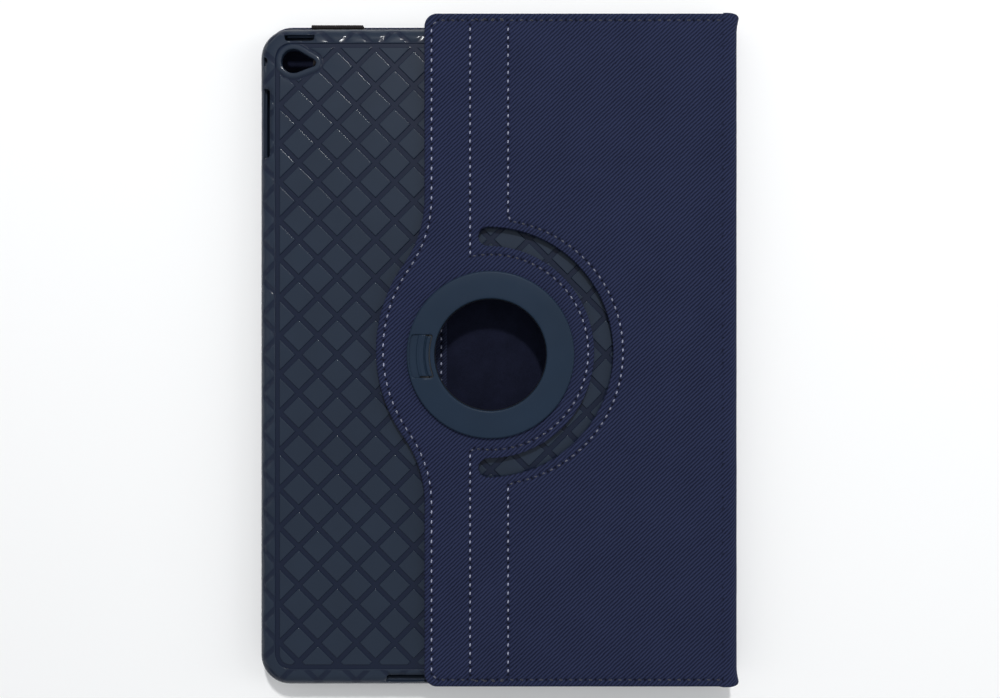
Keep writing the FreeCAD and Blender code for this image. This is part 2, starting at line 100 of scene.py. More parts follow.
# The spine's cross-section, a channel with round bends.
SPINE_BEND = 4.5
SPINE_DEPTH = SPINE_HIGH[0] - SPINE_X
SPINE_HEIGHT = SPINE_HIGH[2] - SPINE_LOW[2]
SPINE_FLARE, SPINE_PINCH = 3.2, 1.2  # how far in from the ends the cloth flares and draws in
SPINE_WRAP = 2 * (SPINE_DEPTH - SPINE_BEND) + math.pi * SPINE_BEND + SPINE_HEIGHT - 2 * SPINE_BEND


# ---- plane geometry

def join(*parts):
    """Rows of points one after another."""
    return np.concatenate(parts)


def arc(centre, radius, start, stop, count):
    """Points on an arc, from one angle in degrees to another."""
    angles = np.radians(np.linspace(start, stop, count + 1))
    return np.stack([centre[0] + radius * np.cos(angles), centre[1] + radius * np.sin(angles)], 1)


def run(a, b, count, last=False):
    """Points on a straight run."""
    t = np.linspace(0, 1, count + 1)[:, None]
    if not last:
        t = t[:-1]
    return np.array(a) * (1 - t) + np.array(b) * t


def circle(centre, radius, count=96):
    return arc(centre, radius, 0, 360, count)[:-1]


def rounded_box(centre, half, radius, segments, steps):
    """A rectangle with round corners, anticlockwise. steps are the counts on its two sides."""
    reach = np.array(half) - radius
    quarters = [arc(centre + reach * sign, radius, 90 * i, 90 * i + 90, segments)
                for i, sign in enumerate(((1, 1), (-1, 1), (-1, -1), (1, -1)))]
    parts = []
    for i, quarter in enumerate(quarters):
        parts += [quarter, run(quarter[-1], quarters[(i + 1) % 4][0], steps[i % 2])[1:]]
    return join(*parts)


def panel_outline(edge, top, corner, corner_steps, side_steps, middle):
    """A panel's outline, anticlockwise from the foot of its spine side.

    The middle is the path down its free edge, between the two round corners.
    """
    return join(
        run((SPINE_X, -top), (SPINE_X, top), SPINE_STEPS),
        run((SPINE_X, top), (edge + corner, top), side_steps),
        arc((edge + corner, top - corner), corner, 90, 180, corner_steps),
        *middle,
        arc((edge + corner, -top + corner), corner, 180, 270, corner_steps),
        run((edge + corner, -top), (SPINE_X, -top), side_steps)[1:],
    )


def panel_loop(d):
    """The back panel's outline, moved in by d."""
    edge, top = HUB[0] - WAVE_EDGE + d, HALF - d
    bulge, blend = WAVE_RADIUS - d, WAVE_BLEND + d
    blend_x = edge - blend
    across = WAVE_CENTRE[0] - blend_x
    rise = math.sqrt((bulge + blend) ** 2 - across ** 2)
    turn = math.degrees(math.atan2(rise, across))
    corner = max(WING_CORNER - d, 0.4)
    upper = (blend_x, WAVE_CENTRE[1] + rise)
    lower = (blend_x, WAVE_CENTRE[1] - rise)
    return panel_outline(edge, top, corner, 8, 72, [
        run((edge, top - corner), (edge, upper[1]), 26)[1:],
        arc(upper, blend, 0, -turn, 20),
        arc(WAVE_CENTRE, bulge, 180 - turn, 180 + turn, 46)[1:-1],
        arc(lower, blend, turn, 0, 20),
        run((edge, lower[1]), (edge, -top + corner), 26)[1:],
    ])


def cover_loop(d):
    """The front cover's outline, moved in by d."""
    edge, top = FRONT_LOW[0] + d, HALF - d
    corner = max(COVER_CORNER - d, 0.4)
    side = run((edge, top - corner), (edge, -top + corner), 130)[1:]
    return panel_outline(edge, top, corner, 10, 90, [side])


def slot_loop(d):
    """The curved slot's outline, moved out into the fabric by d."""
    middle = (SLOT_INNER + SLOT_OUTER) / 2
    end = (SLOT_OUTER - SLOT_INNER) / 2 + d
    top = SLOT_CENTRE + (0, middle)
    foot = SLOT_CENTRE - (0, middle)
    return join(
        arc(SLOT_CENTRE, SLOT_OUTER + d, -90, 90, 90),
        arc(top, end, 90, 270, 12)[1:-1],
        arc(SLOT_CENTRE, SLOT_INNER - d, 90, -90, 90),
        arc(foot, end, 90, 270, 12)[1:-1],
    )


def seat_loop(d):
    return circle(HUB, SEAT_RADIUS + d)


def inside(points, loop):
    """Which points lie inside a closed loop."""
    x, y = points[:, 0], points[:, 1]
    result = np.zeros(len(points), bool)
    for (ax, ay), (bx, by) in zip(loop, np.roll(loop, -1, 0)):
        if ay == by:
            continue
        crossing = (ay > y) != (by > y)
        result ^= crossing & (x < (bx - ax) * (y - ay) / (by - ay) + ax)
    return result


def distance(points, path, closed=True):
    """Each point's distance to a path."""
    a = path if closed else path[:-1]
    b = np.roll(path, -1, 0) if closed else path[1:]
    along = b - a
    length = np.maximum((along ** 2).sum(1), 1e-12)
    best = np.full(len(points), 1e9)
    for first in range(0, len(points), 2000):
        block = points[first:first + 2000, None, :]
        t = np.clip(((block - a) * along).sum(2) / length, 0, 1)
        nearest = a + t[..., None] * along
        best[first:first + 2000] = np.sqrt(((block - nearest) ** 2).sum(2)).min(1)
    return best


def travel(path):
    """How far along a path each of its points is."""
    return join([0], np.cumsum(np.sqrt((np.diff(path, axis=0) ** 2).sum(1))))


def resample(path, step):
    """Points at even steps along an open path."""
    far = travel(path)
    at = np.linspace(0, far[-1], max(2, round(far[-1] / step)) + 1)
    return np.stack([np.interp(at, far, path[:, i]) for i in (0, 1)], 1)


def left(path):
    """The unit direction to the left of a path at each of its points."""
    along = np.gradient(path, axis=0)
    along /= np.linalg.norm(along, axis=1)[:, None]
    return np.stack([-along[:, 1], along[:, 0]], 1)


def smooth(t):
    t = np.clip(t, 0, 1)
    return t * t * (3 - 2 * t)


def fall(inset, radius):
    """How far a round edge has fallen at a distance in from it."""
    return radius - np.sqrt(np.maximum(radius ** 2 - np.maximum(radius - inset, 0) ** 2, 0))


def wobble(points, size, seed):
    """Slow random height over the plane, between about -1 and 1."""
    return np.array([noise.noise(Vector((x / size, y / size, seed))) for x, y in points])


# ---- meshes

def add_object(name, data):
    """A new object in the scene."""
    made = bpy.data.objects.new(name, data)
    bpy.context.scene.collection.objects.link(made)
    return made


class Shell:
    """A closed mesh made of strips and flat or domed patches that share their edges."""

    def __init__(self):
        self.points, self.faces, self.index, self.recess = [], [], {}, []

    def vertex(self, p, recess=0.0):
        key = tuple(round(float(c), 4) for c in p)
        if key not in self.index:
            self.index[key] = len(self.points)
            self.points.append(tuple(float(c) for c in p))
            self.recess.append(0.0)
        number = self.index[key]
        self.recess[number] = max(self.recess[number], float(recess))
        return number

    def face(self, ids):
        ids = [i for n, i in enumerate(ids) if i != ids[n - 1]]
        if len(set(ids)) > 2:
            self.faces.append(ids)

    def strip(self, first, second, closed=True):
        """Faces between two rows of points."""
        a = [self.vertex(p) for p in first]
        b = [self.vertex(p) for p in second]
        for i in range(len(a) if closed else len(a) - 1):
            j = (i + 1) % len(a)
            self.face([a[i], a[j], b[j], b[i]])

    def rows(self, rows, closed=True):
        for first, second in zip(rows, rows[1:]):
            self.strip(first, second, closed)

    def sheet(self, outer, inner):
        """A closed sheet between two grids of points."""
        self.rows(outer, closed=False)
        self.rows(inner, closed=False)
        for row in (0, -1):
            self.strip(outer[row], inner[row], closed=False)
        for column in (0, -1):
            self.strip([r[column] for r in outer], [r[column] for r in inner], closed=False)

    def solid(self, rows):
        """A closed body through rings of points, with a flat face at each end."""
        self.rows(rows)
        for row in (rows[0], rows[-1]):
            self.face([self.vertex(p) for p in row])

    def patch(self, outline, holes, height, loops=(), tracks=(), loose=()):
        """A triangulated patch over the plane. height gives each point's z, and its recess, which
        is the painted shade for its finish.

        Its edges follow the loops and the open tracks, and its corners include the loose points.
        """
        points, edges = [], []
        paths = [(path, True) for path in (outline, *holes, *loops)]
        for path, closed in paths + [(path, False) for path in tracks]:
            first = len(points)
            points.extend(map(tuple, path))
            edges.extend((first + i, first + i + 1) for i in range(len(path) - 1))
            if closed:
                edges.append((len(points) - 1, first))
        points.extend(map(tuple, loose))
        made = delaunay_2d_cdt([Vector(p) for p in points], edges, [], 0, 1e-5)
        flat = np.array([tuple(v) for v in made[0]])
        triangles = np.array(made[2])
        middle = flat[triangles].mean(1)
        wanted = inside(middle, outline)
        for hole in holes:
            wanted &= ~inside(middle, hole)
        z, recess = height(flat)
        ids = {}
        for triangle in triangles[wanted]:
            for i in triangle:
                if i not in ids:
                    ids[i] = self.vertex((*flat[i], z[i]), recess[i])
            self.face([ids[i] for i in triangle])

    def build(self, name, finish, uv=None, sharp=40.0):
        """Makes the shell an object, shaded smooth except at sharp edges."""
        mesh = bpy.data.meshes.new(name)
        mesh.from_pydata([Vector(p) * MM for p in self.points], [], self.faces)
        tidy = bmesh.new()
        tidy.from_mesh(mesh)
        bmesh.ops.recalc_face_normals(tidy, faces=tidy.faces)
        tidy.to_mesh(mesh)
        tidy.free()
        # recess darkens the finishes: painted shade in needle holes and grooves, and on threads
        # lying across the light
        recess = mesh.attributes.new("recess", "FLOAT", "POINT")
        recess.data.foreach_set("value", np.array(self.recess, np.float32))
        if uv is not None:
            layer = mesh.uv_layers.new(name="cloth")
            corner = np.empty(len(mesh.loops), np.int32)
            mesh.loops.foreach_get("vertex_index", corner)
            places = uv(np.array(self.points))[corner]
            layer.data.foreach_set("uv", places.astype(np.float32).ravel())
        mesh.shade_smooth()
        mesh.set_sharp_from_angle(angle=math.radians(sharp))
        mesh.materials.append(FINISHES[finish])
        return add_object(name, mesh)


def with_z(loop, z):
    return [(x, y, z) for x, y in loop]


def at_height(loop, height):
    return [(x, y, z) for (x, y), z in zip(loop, height(loop)[0])]


def flat_at(level):
    """The height of a flat patch, and its recess: no painted shade."""
    return lambda points: (np.full(len(points), level), np.zeros(len(points)))


def boolean_cut(target, cutters):
    """Cuts closed meshes out of an object, and drops them."""
    for cutter in cutters:
        modifier = target.modifiers.new("cut", "BOOLEAN")
        modifier.operation, modifier.solver, modifier.object = "DIFFERENCE", "EXACT", cutter
    scene_graph = bpy.context.evaluated_depsgraph_get()
    cut = bpy.data.meshes.new_from_object(target.evaluated_get(scene_graph))
    target.modifiers.clear()
    target.data = cut
    for cutter in cutters:
        bpy.data.objects.remove(cutter)


def prism(name, loops_and_levels, finish):
    """A closed prism through several outlines of one count, from its foot to its top."""
    shell = Shell()
    shell.solid([with_z(loop, z) for loop, z in loops_and_levels])
    return shell.build(name, finish)


def attach(piece, body, node):
    """Puts a piece on a body, in place of a CAD node."""
    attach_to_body(piece, body)
    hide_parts(node)


# ---- materials

def rgb(red, green, blue):
    """A colour written as display values from 0 to 255."""
    def linear(c):
        c /= 255
        return c / 12.92 if c <= 0.04045 else ((c + 0.055) / 1.055) ** 2.4
    return (linear(red), linear(green), linear(blue), 1.0)


def tinted(colour, factor):
    """A lighter or darker tone of a colour."""
    return (*(factor * c for c in colour[:3]), 1.0)


class Finish:
    """A node material, with short calls for building its tree."""

    def __init__(self, name, roughness, **sockets):
        self.material = bpy.data.materials.new(name)
        self.material.use_nodes = True
        self.tree = self.material.node_tree
        self.shader = next(n for n in self.tree.nodes if n.type == "BSDF_PRINCIPLED")
        self.rough(roughness)
        for socket, value in sockets.items():
            self.shader.inputs[socket.replace("_", " ")].default_value = value
        # the place on the surface in the CAD frame, in millimetres
        where = self.add("TexCoord").outputs["Object"]
        self.place = self.add("VectorMath", {0: where, "Scale": 1 / MM},
                              operation="SCALE").outputs[0]

    def add(self, kind, inputs=(), **settings):
        node = self.tree.nodes.new("ShaderNode" + kind)
        for name, value in settings.items():
            setattr(node, name, value)
        for socket, value in dict(inputs).items():
            self.feed(node.inputs[socket], value)
        return node

    def feed(self, socket, value):
        if isinstance(value, bpy.types.NodeSocket):
            self.tree.links.new(value, socket)
        else:
            socket.default_value = value

    def maths(self, operation, *values):
        return self.add("Math", dict(enumerate(values)), operation=operation).outputs[0]

    def plus(self, first, second):
        return self.maths("ADD", first, second)

    def times(self, value, factor, offset=0.0):
        """A value multiplied by a factor, with an offset added."""
        return self.maths("MULTIPLY_ADD", value, factor, offset)

    def wave(self, value, pitch):
        """A smooth wave between 0 and 1 along a value in millimetres."""
        turn = self.times(value, 2 * math.pi / pitch)
        return self.times(self.maths("SINE", turn), 0.5, 0.5)

    def axes(self, vector):
        return self.add("SeparateXYZ", {0: vector}).outputs

    def noise(self, size, detail=2.0, rough=0.5):
        """Noise about 0.5, with features of a size in millimetres."""
        return self.add("TexNoise", {"Vector": self.place, "Scale": 1 / size, "Detail": detail,
                                     "Roughness": rough}).outputs[0]

    def stretch(self, noise, low=0.0, high=1.0):
        """Noise between 0.3 and 0.7, stretched from low to high."""
        return self.add("MapRange", {0: noise, 1: 0.3, 2: 0.7, 3: low, 4: high}).outputs[0]

    def blend(self, factor, first, second):
        return self.add("Mix", {0: factor, 6: first, 7: second}, data_type="RGBA").outputs[2]

    # the painted shade: in recesses, and on threads lying across the light
    def recess(self):
        return self.add("Attribute", attribute_name="recess").outputs["Fac"]

    def colour(self, value):
        self.feed(self.shader.inputs["Base Color"], value)

    def rough(self, value):
        self.feed(self.shader.inputs["Roughness"], value)

    def bump(self, height, distance, strength):
        """Bump from a height between 0 and 1, with its real depth in millimetres."""
        node = self.add("Bump", {"Height": height, "Distance": distance * MM, "Strength": strength})
        self.feed(self.shader.inputs["Normal"], node.outputs[0])


def twill_finish(name, dark, light, pitch=TWILL_PITCH):
    """Woven twill: diagonal ribs of slanting yarn floats, with uneven yarns."""
    f = Finish(name, 0.85, Specular_IOR_Level=0.08, Sheen_Weight=0.03, Sheen_Roughness=0.5,
               Sheen_Tint=rgb(140, 150, 190))
    # the place on the cloth in millimetres, across and along it
    u, v = f.axes(f.add("UVMap", uv_map="cloth").outputs[0])[:2]
    drift = f.times(f.noise(2.2, 3), 0.5, -0.25)
    c, s = math.cos(TWILL_ANGLE), math.sin(TWILL_ANGLE)
    across = f.plus(f.times(u, c, f.times(v, -s)), drift)
    along = f.times(u, s, f.times(v, c))
    ribs = f.wave(across, pitch)
    floats = f.wave(f.times(across, 0.55, along), pitch * 0.62)
    yarns = f.wave(f.plus(u, drift), pitch * 0.36)
    height = f.times(yarns, 0.08, f.times(ribs, 0.78, f.times(floats, 0.14)))
    fleck = f.stretch(f.noise(0.55, 2, 0.7))
    patch = f.stretch(f.noise(14.0, 3))
    tone = f.times(patch, 0.06, f.times(height, 0.74, f.times(fleck, 0.2)))
    base = f.blend(tone, dark, light)
    # painted shade: the twill is painted near black in its needle holes
    f.colour(f.blend(f.times(f.recess(), 0.95), base, rgb(5, 5, 11)))
    f.rough(f.times(fleck, 0.14, 0.78))
    f.bump(f.times(fleck, 0.15, height), 0.16, 0.8)
    return f.material


def felt_finish(name, dark, light):
    """Brushed microfibre: short fuzz, and a nap that lies a little unevenly."""
    f = Finish(name, 0.95, Specular_IOR_Level=0.05, Sheen_Weight=0.25, Sheen_Roughness=0.6,
               Sheen_Tint=rgb(110, 120, 165))
    fuzz = f.noise(0.28, 4, 0.75)
    nap = f.stretch(f.noise(6.0, 4, 0.6))
    base = f.blend(f.times(nap, 0.35, f.times(f.stretch(fuzz), 0.65)), dark, light)
    # painted shade: the felt is painted darker in its needle holes
    f.colour(f.blend(f.times(f.recess(), 0.8), base, rgb(8, 8, 14)))
    f.bump(fuzz, 0.14, 0.7)
    return f.material


def moulded_finish(name, colour, recess_shade, roughness, grain, depth, **sockets):
    """Moulded plastic or rubber: fine spark grain, slight tone drift, and painted shade in its
    recesses.
    """
    f = Finish(name, roughness, **sockets)
    fine = f.noise(grain, 3, 0.6)
    tone = f.times(f.stretch(f.noise(22.0, 3)), 0.6, f.times(fine, 0.4))
    # painted shade: its recesses are painted a darker colour
    f.colour(f.blend(f.recess(), f.blend(tone, tinted(colour, 0.9), tinted(colour, 1.12)), recess_shade))
    f.rough(f.stretch(f.noise(9.0, 4, 0.7), roughness - 0.05, roughness + 0.07))
    f.bump(fine, depth, 0.6)
    return f.material


def thread_finish(name, dark, light):
    """Twisted sewing thread. Its light colour is a painted highlight on navy thread."""
    f = Finish(name, 0.35, Specular_IOR_Level=0.5, Sheen_Weight=0.1)
    x, y, z = f.axes(f.place)
    strand = f.wave(f.plus(f.plus(x, y), f.times(z, 2.0)), 0.34)
    tone = f.times(f.noise(1.5, 2), 0.5, f.times(strand, 0.5))
    # painted shade: a thread is painted dark navy as far as its recess is set, on threads lying
    # across the light
    f.colour(f.blend(f.recess(), f.blend(tone, dark, light), rgb(16, 19, 34)))
    f.bump(strand, 0.08, 0.8)
    return f.material


def elastic_finish(name, dark, light):
    """Knitted elastic: fine cords side by side, crossed by rows of loops."""
    f = Finish(name, 0.8, Specular_IOR_Level=0.15, Sheen_Weight=0.1)
    x, y, z = f.axes(f.place)
    loops = f.times(f.wave(f.plus(y, z), 0.55), f.wave(x, 0.85))
    tone = f.times(loops, 0.7, f.times(f.noise(0.3, 3, 0.7), 0.3))
    f.colour(f.blend(tone, dark, light))
    f.bump(loops, 0.1, 0.8)
    return f.material


def board_finish(name, dark, light):
    """Pressed board or felt with short fibres."""
    f = Finish(name, 0.9, Specular_IOR_Level=0.15)
    fibre = f.noise(0.8, 5, 0.7)
    f.colour(f.blend(f.stretch(fibre), dark, light))
    f.bump(fibre, 0.08, 0.7)
    return f.material


def metal_finish(name, colour, roughness):
    """Plated metal, slightly brushed."""
    f = Finish(name, roughness, Metallic=1.0)
    brushed = f.noise(0.35, 4, 0.6)
    f.colour(f.blend(brushed, tinted(colour, 0.8), colour))
    f.rough(f.stretch(brushed, roughness - 0.06, roughness + 0.08))
    f.bump(brushed, 0.01, 0.4)
    return f.material


def floor_finish():
    f = Finish("studio_floor", 0.7, Specular_IOR_Level=0.1)
    f.colour(f.blend(f.noise(300.0, 2), rgb(246, 246, 246), rgb(250, 250, 250)))
    return f.material


FINISHES = {
    "twill": twill_finish("twill", rgb(3, 6, 19), rgb(49, 56, 87)),
    "rib_twill": twill_finish("rib_twill", rgb(10, 13, 26), rgb(42, 48, 72), 0.9),
    "lining": felt_finish("lining", rgb(9, 11, 21), rgb(27, 30, 48)),
    # rgb(15, 24, 45) is the painted shade in the tray's grooves
    "tray": moulded_finish("tray_rubber", rgb(32, 42, 57), rgb(15, 24, 45), 0.45, 0.35, 0.02,
                           Specular_IOR_Level=0.09, Coat_Weight=0.24, Coat_Roughness=0.16),
    "swivel_plastic": moulded_finish("swivel_plastic", rgb(28, 42, 59), rgb(10, 14, 22), 0.42, 0.22,
                                     0.012, Specular_IOR_Level=0.12),
    "insert_plastic": moulded_finish("insert_plastic", rgb(30, 33, 40), rgb(14, 15, 18), 0.45, 0.3,
                                     0.015, Specular_IOR_Level=0.4),
    "washer": moulded_finish("washer", rgb(26, 27, 30), rgb(14, 14, 16), 0.5, 0.4, 0.01,
                             Specular_IOR_Level=0.3),
    "board": board_finish("board", rgb(96, 90, 80), rgb(140, 132, 120)),
    "felt": board_finish("fold_strips", rgb(26, 28, 36), rgb(48, 50, 60)),
    "elastic": elastic_finish("elastic", rgb(17, 15, 17), rgb(58, 51, 52)),
    # painted highlight: the navy thread is painted light grey-lilac, as it shines in the light
    "thread": thread_finish("thread", rgb(120, 124, 150), rgb(176, 180, 204)),
    "screw": metal_finish("screw", rgb(190, 190, 194), 0.32),
    "magnet": metal_finish("magnet", rgb(176, 176, 182), 0.25),
}


# ---- stitching

# A seam is a pair: its line, and the pitch of its needle holes.
SEAM_DEPTH, SEAM_WIDTH = 0.26, 0.85
PIT_DEPTH, PIT_RADIUS = 0.3, 0.85
THREAD_RADIUS = 0.27
THREAD_SKEW = 0.16
THREAD_SIDES, THREAD_RINGS = 6, 7


def seam_points(line, pitch):
    """Extra points that let the cloth dip along a seam and into each needle hole."""
    points = resample(line, 0.9)
    loose = [points + left(points) * offset for offset in (-1.7, -1.1, -0.6, 0.6, 1.1, 1.7)]
    holes = resample(line, pitch)
    for hole in holes:
        loose += [circle(hole, 0.35, 6), circle(hole, 0.7, 8)]
    return join(*loose, holes)


def seam_drop(points, seams):
    """How far the cloth is pulled down by its seams, and the painted shade in its needle holes."""
    drop, dark = np.zeros(len(points)), np.zeros(len(points))
    for line, pitch in seams:
        near = distance(points, line, closed=False)
        drop = np.maximum(drop, SEAM_DEPTH * np.exp(-(near / SEAM_WIDTH) ** 2))
        holes = resample(line, pitch)
        close = np.where(near < 1.0)[0]
        if len(close):
            gap = np.sqrt(((points[close, None, :] - holes) ** 2).sum(2)).min(1)
            pit = 1 - smooth(gap / PIT_RADIUS)
            drop[close] += PIT_DEPTH * pit
            dark[close] = np.maximum(dark[close], pit)
    return drop, dark


def add_stitches(name, seams, height, up, body):
    """Threads that rise out of one needle hole and go down into the next, each a little askew."""
    shell = Shell()
    for line, pitch in seams:
        holes = resample(line, pitch)
        for a, b in zip(holes, holes[1:]):
            along = (b - a) / np.linalg.norm(b - a)
            side = np.array((-along[1], along[0]))
            a, b = a + side * THREAD_SKEW, b - side * THREAD_SKEW
            rings = []
            for t in np.linspace(0, 1, THREAD_RINGS):
                end = abs(2 * t - 1)
                centre = a + (b - a) * (0.24 + 0.52 * t)
                level = height(centre[None])[0][0] + up * (0.1 - 0.6 * end ** 2.5)
                swell = THREAD_RADIUS * (1 - 0.35 * end ** 3)
                ring = circle((0, level), swell, THREAD_SIDES)
                rings.append([(*(centre + side * 1.15 * across), z) for across, z in ring])
            first = len(shell.points)
            shell.solid(rings)
            # painted shade: threads that lie along x, across the light, are painted darker
            shell.recess[first:] = [0.95 * abs(along[0]) ** 1.2] * (len(shell.points) - first)
    made = shell.build(name, "thread", sharp=80)
    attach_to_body(made, body)


# ---- cloth panels

def grid_points(low, high, step, keep):
    """A staggered grid of loose points."""
    rows = []
    for number, y in enumerate(np.arange(low[1], high[1], step * 0.87)):
        x = np.arange(low[0] + (step / 2 if number % 2 else 0), high[0], step)
        rows.append(np.stack([x, np.full(len(x), y)], 1))
    points = join(*rows)
    return points[keep(points)]


def cloth_panel(name, loop, holes, seams, face, back, finish, uv, bend=1.0, pressed=0.5,
                wavy=0.05, step=3.2, hinged=True):
    """A stiffened panel covered in cloth. Its face has round edges, seams and slow waves.

    Each hole has its outline and the radius of its edge. A hinged panel keeps its full
    thickness along its spine side.
    """
    up = 1 if face > back else -1
    outline = loop(0)
    free_edge = outline[SPINE_STEPS:] if hinged else join(outline, outline[:1])

    def height(points):
        edge = distance(points, free_edge, closed=False)
        drop = fall(edge, bend)
        for hole, radius in holes:
            gap = distance(points, hole(0))
            drop += fall(gap, radius)
            drop += pressed * 0.5 * (1 - smooth((gap - 0.9) / 0.9)) * (radius > 0)
        pulled, dark = seam_drop(points, seams)
        waves = wavy * wobble(points, 34.0, 2.0) * smooth((edge - 1.0) / 6) if wavy else 0
        return face - up * (drop + pulled) + up * waves, dark

    loops = [loop(t * bend) for t in (0.1, 0.3, 0.6, 1.0, 1.5)]
    for hole, radius in holes:
        if radius > 0:
            loops += [hole(d) for d in (0.15, 0.35, 0.9, 1.3, 1.8)]

    def clear(points, edge, gap):
        """Which points lie well inside the panel and outside its holes."""
        keep = inside(points, loop(edge))
        for hole, _ in holes:
            keep &= ~inside(points, hole(gap))
        return keep

    def far_enough(points):
        keep = clear(points, 1.5 * bend + 0.8, 2.4)
        for line, _ in seams:
            keep &= distance(points, line, closed=False) > 2.4
        return keep

    loose = [seam_points(*seam) for seam in seams]
    loose.append(grid_points(outline.min(0), outline.max(0), step, far_enough))
    loose = join(*loose)
    loose = loose[clear(loose, 0.6, 0.1)]

    shell = Shell()
    shell.patch(outline, [hole(0) for hole, _ in holes], height, loops, loose=loose)
    under = 0.45
    shell.rows([at_height(outline, height), with_z(outline, back + up * under),
                with_z(loop(0.15), back + up * 0.12), with_z(loop(under), back)])
    for hole, _ in holes:
        shell.rows([at_height(hole(0), height), with_z(hole(0), back + up * 0.1),
                    with_z(hole(0.1), back)])
    shell.patch(loop(under), [hole(0.1) for hole, _ in holes], flat_at(back))
    return shell.build(name, finish, uv), height


def panel_uv(points):
    return points[:, :2]


def cover_uv(points):
    """The place on the twill, which runs on round the spine from the back panel."""
    across = 2 * SPINE_X + SPINE_WRAP - points[:, 0]
    return np.stack([across, points[:, 1]], 1)


def edge_seam(loop, inset=SEAM_INSET):
    """The seam round the free edges of a panel, from one end of the spine side to the other."""
    path = loop(inset)[SPINE_STEPS:]
    return join(path, [[SPINE_X, -HALF + inset]]), EDGE_PITCH


def fold_seam(x, radius):
    """A seam beside the fold: straight at both ends, and round the swivel between them."""
    turn = math.degrees(math.acos((x - ARC_CENTRE[0]) / radius))
    bend = arc(ARC_CENTRE, radius, turn, -turn, 120)
    top = HALF - SEAM_INSET - 1.8
    line = join(run((x, top), bend[0], 60), bend, run(bend[-1], (x, -top), 60, last=True)[1:])
    return line, STITCH_PITCH


def make_back_panel():
    seams = [edge_seam(panel_loop), fold_seam(FOLD_LEFT, FOLD_INNER),
             fold_seam(FOLD_RIGHT, FOLD_OUTER)]
    skin, height = cloth_panel(
        "back_twill", panel_loop, [(slot_loop, 0.4), (seat_loop, 0.0)], seams,
        PANEL_HIGH[2], PANEL_LOW[2], "twill", panel_uv)
    attach(skin, "back_panel", "back_skin")
    add_stitches("back_stitches", seams, height, 1, "back_panel")

    tacks = []
    for side in (1, -1):
        y = side * (HALF - SEAM_INSET + TACK_REACH)
        line = run((FOLD_LEFT + 0.8, y), (FOLD_RIGHT - 0.8, y), 12, last=True)
        tacks.append((line, STITCH_PITCH))
    add_stitches("back_tacks", tacks, height, 1, "back_panel")

    liner, _ = cloth_panel(
        "back_felt", lambda d: panel_loop(d + LINING_INSET),
        [(lambda d: slot_loop(d + 0.3), 0.2), (seat_loop, 0.0)], [], LINER_LOW[2], LINER_HIGH[2],
        "lining", panel_uv, bend=0.35, pressed=0.0, wavy=0.0, step=9.0)
    attach(liner, "back_panel", "back_lining")


def make_front_cover():
    seams = [edge_seam(cover_loop)]
    skin, height = cloth_panel("front_twill", cover_loop, [], seams, FRONT_LOW[2], FRONT_HIGH[2],
                               "twill", cover_uv, wavy=0.0)
    attach(skin, "front_cover", "front_skin")
    add_stitches("front_stitches", seams, height, -1, "front_cover")

    def felt_loop(d):
        return cover_loop(d + LINING_INSET)

    seams = [edge_seam(felt_loop, SEAM_INSET - LINING_INSET)]
    felt, _ = cloth_panel("front_felt", felt_loop, [], seams, FELT_HIGH[2], FELT_LOW[2], "lining",
                          panel_uv, bend=0.4, wavy=0.03, step=6.0)
    attach(felt, "front_cover", "front_lining")
    add_stitches("front_felt_stitches", seams, flat_at(FELT_HIGH[2] - SEAM_DEPTH), 1, "front_cover")

    for node in ("stand_rib_near", "stand_rib_middle", "stand_rib_far"):
        low, high = corners(node)
        centre, half = (low[:2] + high[:2]) / 2, (high[:2] - low[:2]) / 2

        def rib_loop(d, centre=centre, half=half):
            return rounded_box(centre, half - d, max(1.5 - d, 0.3), 6, (6, 140))

        seam = rounded_box(centre, half - 2.3, 0.6, 3, (4, 100))
        seams = [(join(seam, seam[:1]), STITCH_PITCH)]
        rib, height = cloth_panel(node + "_cloth", rib_loop, [], seams, high[2], low[2],
                                  "rib_twill", panel_uv, bend=0.7, wavy=0.0, step=3.0,
                                  hinged=False)
        attach(rib, "front_cover", node)
        add_stitches(node + "_stitches", seams, height, 1, "front_cover")


# ---- spine

def spine_section(inset):
    """The spine's cross-section as x and z, from the back panel round to the front cover."""
    bend = SPINE_BEND - inset
    far = SPINE_HIGH[0] - SPINE_BEND
    high, low = SPINE_HIGH[2] - SPINE_BEND, SPINE_LOW[2] + SPINE_BEND
    return join(
        run((SPINE_X, high + bend), (far, high + bend), 3),
        arc((far, high), bend, 90, 0, 10),
        run((far + bend, high), (far + bend, low), 12)[1:],
        arc((far, low), bend, 0, -90, 10),
        run((far, low - bend), (SPINE_X, low - bend), 3, last=True)[1:],
    )


